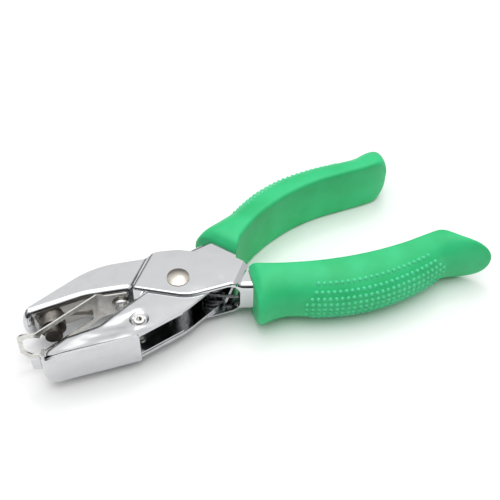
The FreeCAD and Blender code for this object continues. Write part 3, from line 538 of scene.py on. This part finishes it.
dieGrip = {
    "body": "die_side",
    "stations": [
        (23.5, 3.0, 13.5, 17.9, 7.7, 7.0, 0.8), (25.0, 4.6, 15.6, 18.8, 10.1, 8.0, 1.0),
        (27.1, 6.9, 18.5, 19.9, 11.0, 9.1, 1.2), (30.6, 9.6, 23.2, 21.5, 11.0, 10.1, 1.3),
        (37.0, 13.4, 31.8, 25.3, 11.0, 11.5, 1.4), (45.6, 17.0, 42.6, 30.4, 11.0, 12.4, 1.4),
        (56.0, 19.8, 54.4, 33.3, 11.0, 12.4, 1.4), (67.0, 20.9, 67.0, 33.8, 11.0, 12.0, 1.4),
        (78.0, 20.5, 78.4, 32.6, 11.0, 11.0, 1.4), (85.0, 20.1, 86.0, 32.0, 11.0, 10.4, 1.4),
        (90.5, 20.0, 92.5, 32.5, 11.0, 9.8, 1.4), (93.8, 20.2, 96.6, 32.3, 10.3, 9.2, 1.8),
        (96.1, 20.8, 98.4, 31.2, 8.5, 8.0, 2.2), (97.6, 21.4, 99.2, 30.0, 5.4, 5.4, 2.2),
        (98.3, 22.4, 99.4, 28.6, 1.8, 1.8, 1.2)],
    "studStart": 30.0,
    "flare": 0.0,
}
gripSizes = {
    "squareness": 2.15, "topHeight": 11.0, "lip": 0.7, "cornerShare": 0.8, "leastTop": 0.1,
    "sink": 0.6, "sinkRun": 9.0, "studLean": 0.97,  # the studs' bed: its depth, its ends' run, its slope in x
    "hollow": 34.0, "cavity": (0.9, 5.8, 6.15),  # room for the handle: from the flat side, the round side, up
    "cavityRound": 2.0, "cavityCorner": 0.5, "flareRun": 14.0, "tail": (0.7, 0.35, 0.0),
    "rows": 260, "crowding": 1.2, "hollowStep": 6, "samples": 900,
    "inner": 10, "corner": 8, "top": 14, "round": 40,  # steps of each part of a half section
}
studSizes = {"along": 2.12, "up": 2.25, "radius": 0.72, "height": 0.65, "columns": 27, "halfRows": 4,
             "sides": 10, "radii": (1.0, 0.86, 0.58, 0.0), "lifts": (-0.29, 0.38, 0.81, 1.0), "step": 0.1}


def eased(t):
    # 3 t^2 - 2 t^3 between 0 and 1, level before and after
    t = np.clip(t, 0, 1)
    return t ** 2 * (3 - 2 * t)


def unit(vectors):
    return vectors / np.linalg.norm(vectors, axis=-1, keepdims=True)


def alongStations(stations, share):
    # smooth values between the stations: a cubic whose slope at each is that between its neighbours
    values = np.array(stations, float)
    middle = (values[:, 0:2] + values[:, 2:4]) / 2
    knots = np.concatenate([[0], np.cumsum(np.linalg.norm(np.diff(middle, axis=0), axis=1))])
    slope = np.empty_like(values)
    slope[1:-1] = (values[2:] - values[:-2]) / (knots[2:] - knots[:-2])[:, None]
    slope[0] = (values[1] - values[0]) / (knots[1] - knots[0])
    slope[-1] = (values[-1] - values[-2]) / (knots[-1] - knots[-2])
    at = share * knots[-1]
    i = np.clip(np.searchsorted(knots, at, side="right") - 1, 0, len(knots) - 2)
    step = (knots[i + 1] - knots[i])[..., None]
    x = (at - knots[i])[..., None] / step
    return ((2 * x ** 3 - 3 * x ** 2 + 1) * values[i] + (x ** 3 - 2 * x ** 2 + x) * step * slope[i]
            + (3 * x ** 2 - 2 * x ** 3) * values[i + 1] + (x ** 3 - x ** 2) * step * slope[i + 1])


def gripSection(values):
    # half a section from the middle of the inner face to the middle of the round side: a straight face,
    # a small corner, a flat top and a quarter of a superellipse, then the same mirrored below
    s = gripSizes
    near, far, half, depth, corner = np.split(values, (2, 4, 5, 6), axis=1)
    width = np.linalg.norm(far - near, axis=1, keepdims=True)
    way = (far - near) / width
    corner = np.minimum(corner, half * s["cornerShare"])
    depth = np.minimum(depth, width - corner - s["leastTop"])
    face = np.linspace(0, 1, s["inner"], endpoint=False)[None]
    swing = np.linspace(0, math.pi / 2, s["corner"], endpoint=False)[None]
    top = np.linspace(0, 1, s["top"], endpoint=False)[None]
    sweep = np.linspace(0, math.pi / 2, s["round"])[None]
    power = 2 / s["squareness"]
    out = np.concatenate([0 * face + 0 * half, corner * (1 - np.cos(swing)),
                          corner + top * (width - corner - depth),
                          width - depth + depth * np.sin(sweep) ** power], 1)
    up = np.concatenate([face * (half - corner), half - corner + corner * np.sin(swing), half + 0 * top,
                         half * np.cos(sweep).clip(0) ** power], 1)
    out = np.concatenate([out, out[:, -2:0:-1]], 1)
    up = np.concatenate([up, -up[:, -2:0:-1]], 1)
    return np.stack([near[:, :1] + way[:, :1] * out, near[:, 1:] + way[:, 1:] * out, up], 2)


def gripValues(grip, share):
    # the grip's measures along it; the round side lies lower where the studs stand, whose tops keep its line
    s, d = gripSizes, studSizes
    values = alongStations(grip["stations"], share)
    values[..., 4] = values[..., 4].clip(max=s["topHeight"])
    x = values[..., 2]
    first = grip["studStart"]
    last = first + d["columns"] * d["along"] * s["studLean"]
    run = s["sinkRun"]
    depth = s["sink"] * eased((x - first + run) / run) * eased((last + run - x) / run)
    values[..., 2:4] -= unit(values[..., 2:4] - values[..., 0:2]) * depth[..., None]
    return values


def gripShell(name, grip, node):
    # the sections one after another, drawn in at the lip by L - sqrt(L^2 - (L - run)^2), hollow behind it and
    # closed at the tail
    s = gripSizes
    values = gripValues(grip, np.linspace(0, 1, s["rows"]) ** s["crowding"])
    rings = gripSection(values)
    middle = rings.mean(1, keepdims=True)
    away = rings - middle
    reach = np.linalg.norm(away, axis=2, keepdims=True)
    run = np.concatenate([[0], np.linalg.norm(np.diff(middle[:, 0], axis=0), axis=1).cumsum()])
    inset = s["lip"] - np.sqrt(np.maximum(s["lip"] ** 2 - np.maximum(s["lip"] - run, 0) ** 2, 0))
    rings = middle + away * (1 - inset[:, None, None] / reach)
    handle = values[run < s["hollow"]].copy()
    way = unit(handle[:, 2:4] - handle[:, 0:2])
    fromNear, fromFar, up = s["cavity"]
    handle[:, 0:2] += way * fromNear
    flare = grip["flare"] * np.clip(1 - run[:len(handle)] / s["flareRun"], 0, 1)
    handle[:, 2:4] -= way * (fromFar + flare[:, None])
    handle[:, 4:7] = up, s["cavityRound"], s["cavityCorner"]
    hollow = gripSection(handle)[::s["hollowStep"]]
    bottom = hollow[-1:].mean(1, keepdims=True)
    mouth = [bottom + 0 * hollow[-1:], hollow[::-1], (hollow[:1] + rings[:1]) / 2]
    tail = [middle[-1:] + away[-1:] * kept for kept in s["tail"]]
    rings = np.concatenate(mouth + [rings] + tail)
    faces = gridFaces(*rings.shape[:2])
    piece = pieceFrom(name, placed(rings), faces, "grip", grip["body"])
    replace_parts(tidy(piece, 50), node)


def roundLine(grip):
    # the middle line of the round side: its shares, its measures and the length up to each
    share = np.linspace(0, 1, gripSizes["samples"])
    line = gripValues(grip, share)
    return share, line, np.concatenate([[0], np.linalg.norm(np.diff(line[:, 2:4], axis=0), axis=1).cumsum()])


def gripSide(grip, along, z):
    # the point of the round side at a length along it and a height z, and the inner point opposite
    share, line, length = roundLine(grip)
    power = gripSizes["squareness"]
    values = gripValues(grip, np.interp(along, length, share))
    near, far, half, depth = values[:, 0:2], values[:, 2:4], values[:, 4], values[:, 5]
    width = np.linalg.norm(far - near, axis=1, keepdims=True)
    out = depth * (1 - (np.abs(z) / half) ** power) ** (1 / power)
    side = near + (far - near) / width * (width - (depth - out)[:, None])
    return np.column_stack([side, z]), np.column_stack([near, 0 * z])


def gripStuds(name, grip):
    # low round studs on a square grid seen from the side of the grip: each is a dome of height h (1 - r^2) on
    # the plane that touches the round side, where r is the distance from its middle
    d = studSizes
    line, length = roundLine(grip)[1:]
    start = np.interp(grip["studStart"], line[:, 2], length)
    rows = np.arange(-d["halfRows"], d["halfRows"] + 1)
    column, row = np.meshgrid(np.arange(d["columns"]), rows, indexing="ij")
    cut = np.maximum(np.abs(row) - 1, 0)
    kept = (column >= cut) & (column <= d["columns"] - 1 - cut)
    along, z = start + column[kept] * d["along"], row[kept] * d["up"]
    middle, inner = gripSide(grip, along, z)
    ahead = unit(gripSide(grip, along + d["step"], z)[0] - middle)
    outward = np.cross(ahead, gripSide(grip, along, z + d["step"] / 2)[0] - middle)
    outward = unit(outward * np.sign(np.sum(outward * (middle - inner), 1, keepdims=True)))
    across = np.cross(outward, ahead)
    radii = d["radius"] * np.array(d["radii"])[:, None]
    lifts = d["height"] * np.array(d["lifts"])[:, None, None]
    angle = np.linspace(0, 2 * math.pi, d["sides"], endpoint=False)
    dx, dy = (radii * np.cos(angle))[..., None], (radii * np.sin(angle))[..., None]
    middle, ahead, across, outward = (v[:, None, None] for v in (middle, ahead, across, outward))
    points = middle + dx * ahead + dy * across + lifts * outward
    each = len(d["radii"]) * d["sides"]
    faces = (gridFaces(len(d["radii"]), d["sides"]) + np.arange(len(z))[:, None, None] * each).reshape(-1, 4)
    tidy(pieceFrom(name, placed(points), faces, "studs", grip["body"]), 80)
    print(name, "studs:", len(z))


for side, grip in (("punch", punchGrip), ("die", dieGrip)):
    gripShell(side + "_grip_sleeve", grip, side + "_lever_grip")
    gripStuds(side + "_grip_studs", grip)
print("grips made")


# floor, light and camera; places and sizes in metres

studio = {
    "floorTone": 0.96, "floorRough": 0.7, "floorReach": 40.0,
    "sky": [(0.0, (0.05, 0.05, 0.054)), (0.26, (0.12, 0.12, 0.125)), (0.48, (0.50, 0.51, 0.52)),
            (0.66, (0.86, 0.86, 0.87)), (0.80, (1.03, 1.03, 1.03)), (1.0, (2.9, 2.9, 2.9))],
    "skyStrength": 1.0, "backdrop": (0.95, 0.95, 0.95),
    "room": (0.03, 0.03, 0.032), "roomShare": 0.95,
    "roomEnds": {"X": (0.50, 0.70), "Y": (-0.50, -0.15), "Z": (0.60, 0.85)},
    "key": {"place": (0.235, 0.333, 0.80), "size": (0.26, 0.17), "power": 0.7},
    "fill": {"place": (0.3, -0.6, 0.7), "size": (0.7, 0.6), "power": 0.5},
    "aim": (0, 0, 0.01),
}
photoView = {"place": (-0.066447, -0.192864, 0.248175), "right": (0.907014, -0.420736, 0.017516),
             "up": (0.302134, 0.679180, 0.668901), "ahead": (0.293328, 0.601411, -0.743145),
             "sensor": 36.0, "lens": 64.8}


def studioFloor():
    mesh = bpy.data.meshes.new("floor")
    far = studio["floorReach"]
    mesh.from_pydata([(-far, -far, 0), (far, -far, 0), (far, far, 0), (-far, far, 0)], [], [(0, 1, 2, 3)])
    floor = bpy.data.objects.new("floor", mesh)
    scene.collection.objects.link(floor)
    colour = (studio["floorTone"],) * 3 + (1,)
    finish = Paint("floor").surface(Base_Color=colour, Roughness=studio["floorRough"], Specular_IOR_Level=0.2)
    mesh.materials.append(finish)


def studioSky():
    # a bright tent overhead that fades towards a grey horizon, open to a dark room on one side
    paint = Paint("studio", world=True)
    way = paint.parts(paint.coordinates("Generated"))
    inX, inY, inZ = (paint.spread(way[axis], *ends, 1, 0) for axis, ends in studio["roomEnds"].items())
    tone = paint.add("ShaderNodeValToRGB", {"stops": studio["sky"]}, {"Fac": way["Z"]})["Color"]
    tone = paint.mixed(inX * inY * inZ * studio["roomShare"], tone, studio["room"])
    seen = paint.add("ShaderNodeLightPath")["Is Camera Ray"]  # behind the floor's far edge the tent is pale
    tone = paint.mixed(seen, tone, studio["backdrop"])
    light = paint.add("ShaderNodeBackground", {}, {"Color": tone, "Strength": studio["skyStrength"]})
    paint.add("ShaderNodeOutputWorld", {}, {"Surface": light["Background"]})
    scene.world = paint.owner


def softLight(name):
    sizes = studio[name]
    data = bpy.data.lights.new(name, "AREA")
    data.shape = "RECTANGLE"
    data.size, data.size_y = sizes["size"]
    data.energy = sizes["power"]
    lamp = bpy.data.objects.new(name, data)
    lamp.location = sizes["place"]
    lamp.rotation_euler = (Vector(studio["aim"]) - lamp.location).to_track_quat("-Z", "Y").to_euler()
    scene.collection.objects.link(lamp)


def photoCamera():
    # the place from the pivot, and the direction, that the photograph was fitted to
    view = photoView
    data = bpy.data.cameras.new("camera")
    data.sensor_width = view["sensor"]
    data.lens = view["lens"]
    data.clip_start = 0.01
    camera = bpy.data.objects.new("camera", data)
    right, up, ahead = (Vector(view[key]) for key in ("right", "up", "ahead"))
    turn = Matrix((right, up, -ahead)).transposed().to_4x4()
    camera.matrix_world = Matrix.Translation(Vector(pivot) + Vector(view["place"])) @ turn
    scene.collection.objects.link(camera)
    scene.camera = camera


studioFloor()
studioSky()
softLight("key")
softLight("fill")
photoCamera()

print("scene finished")
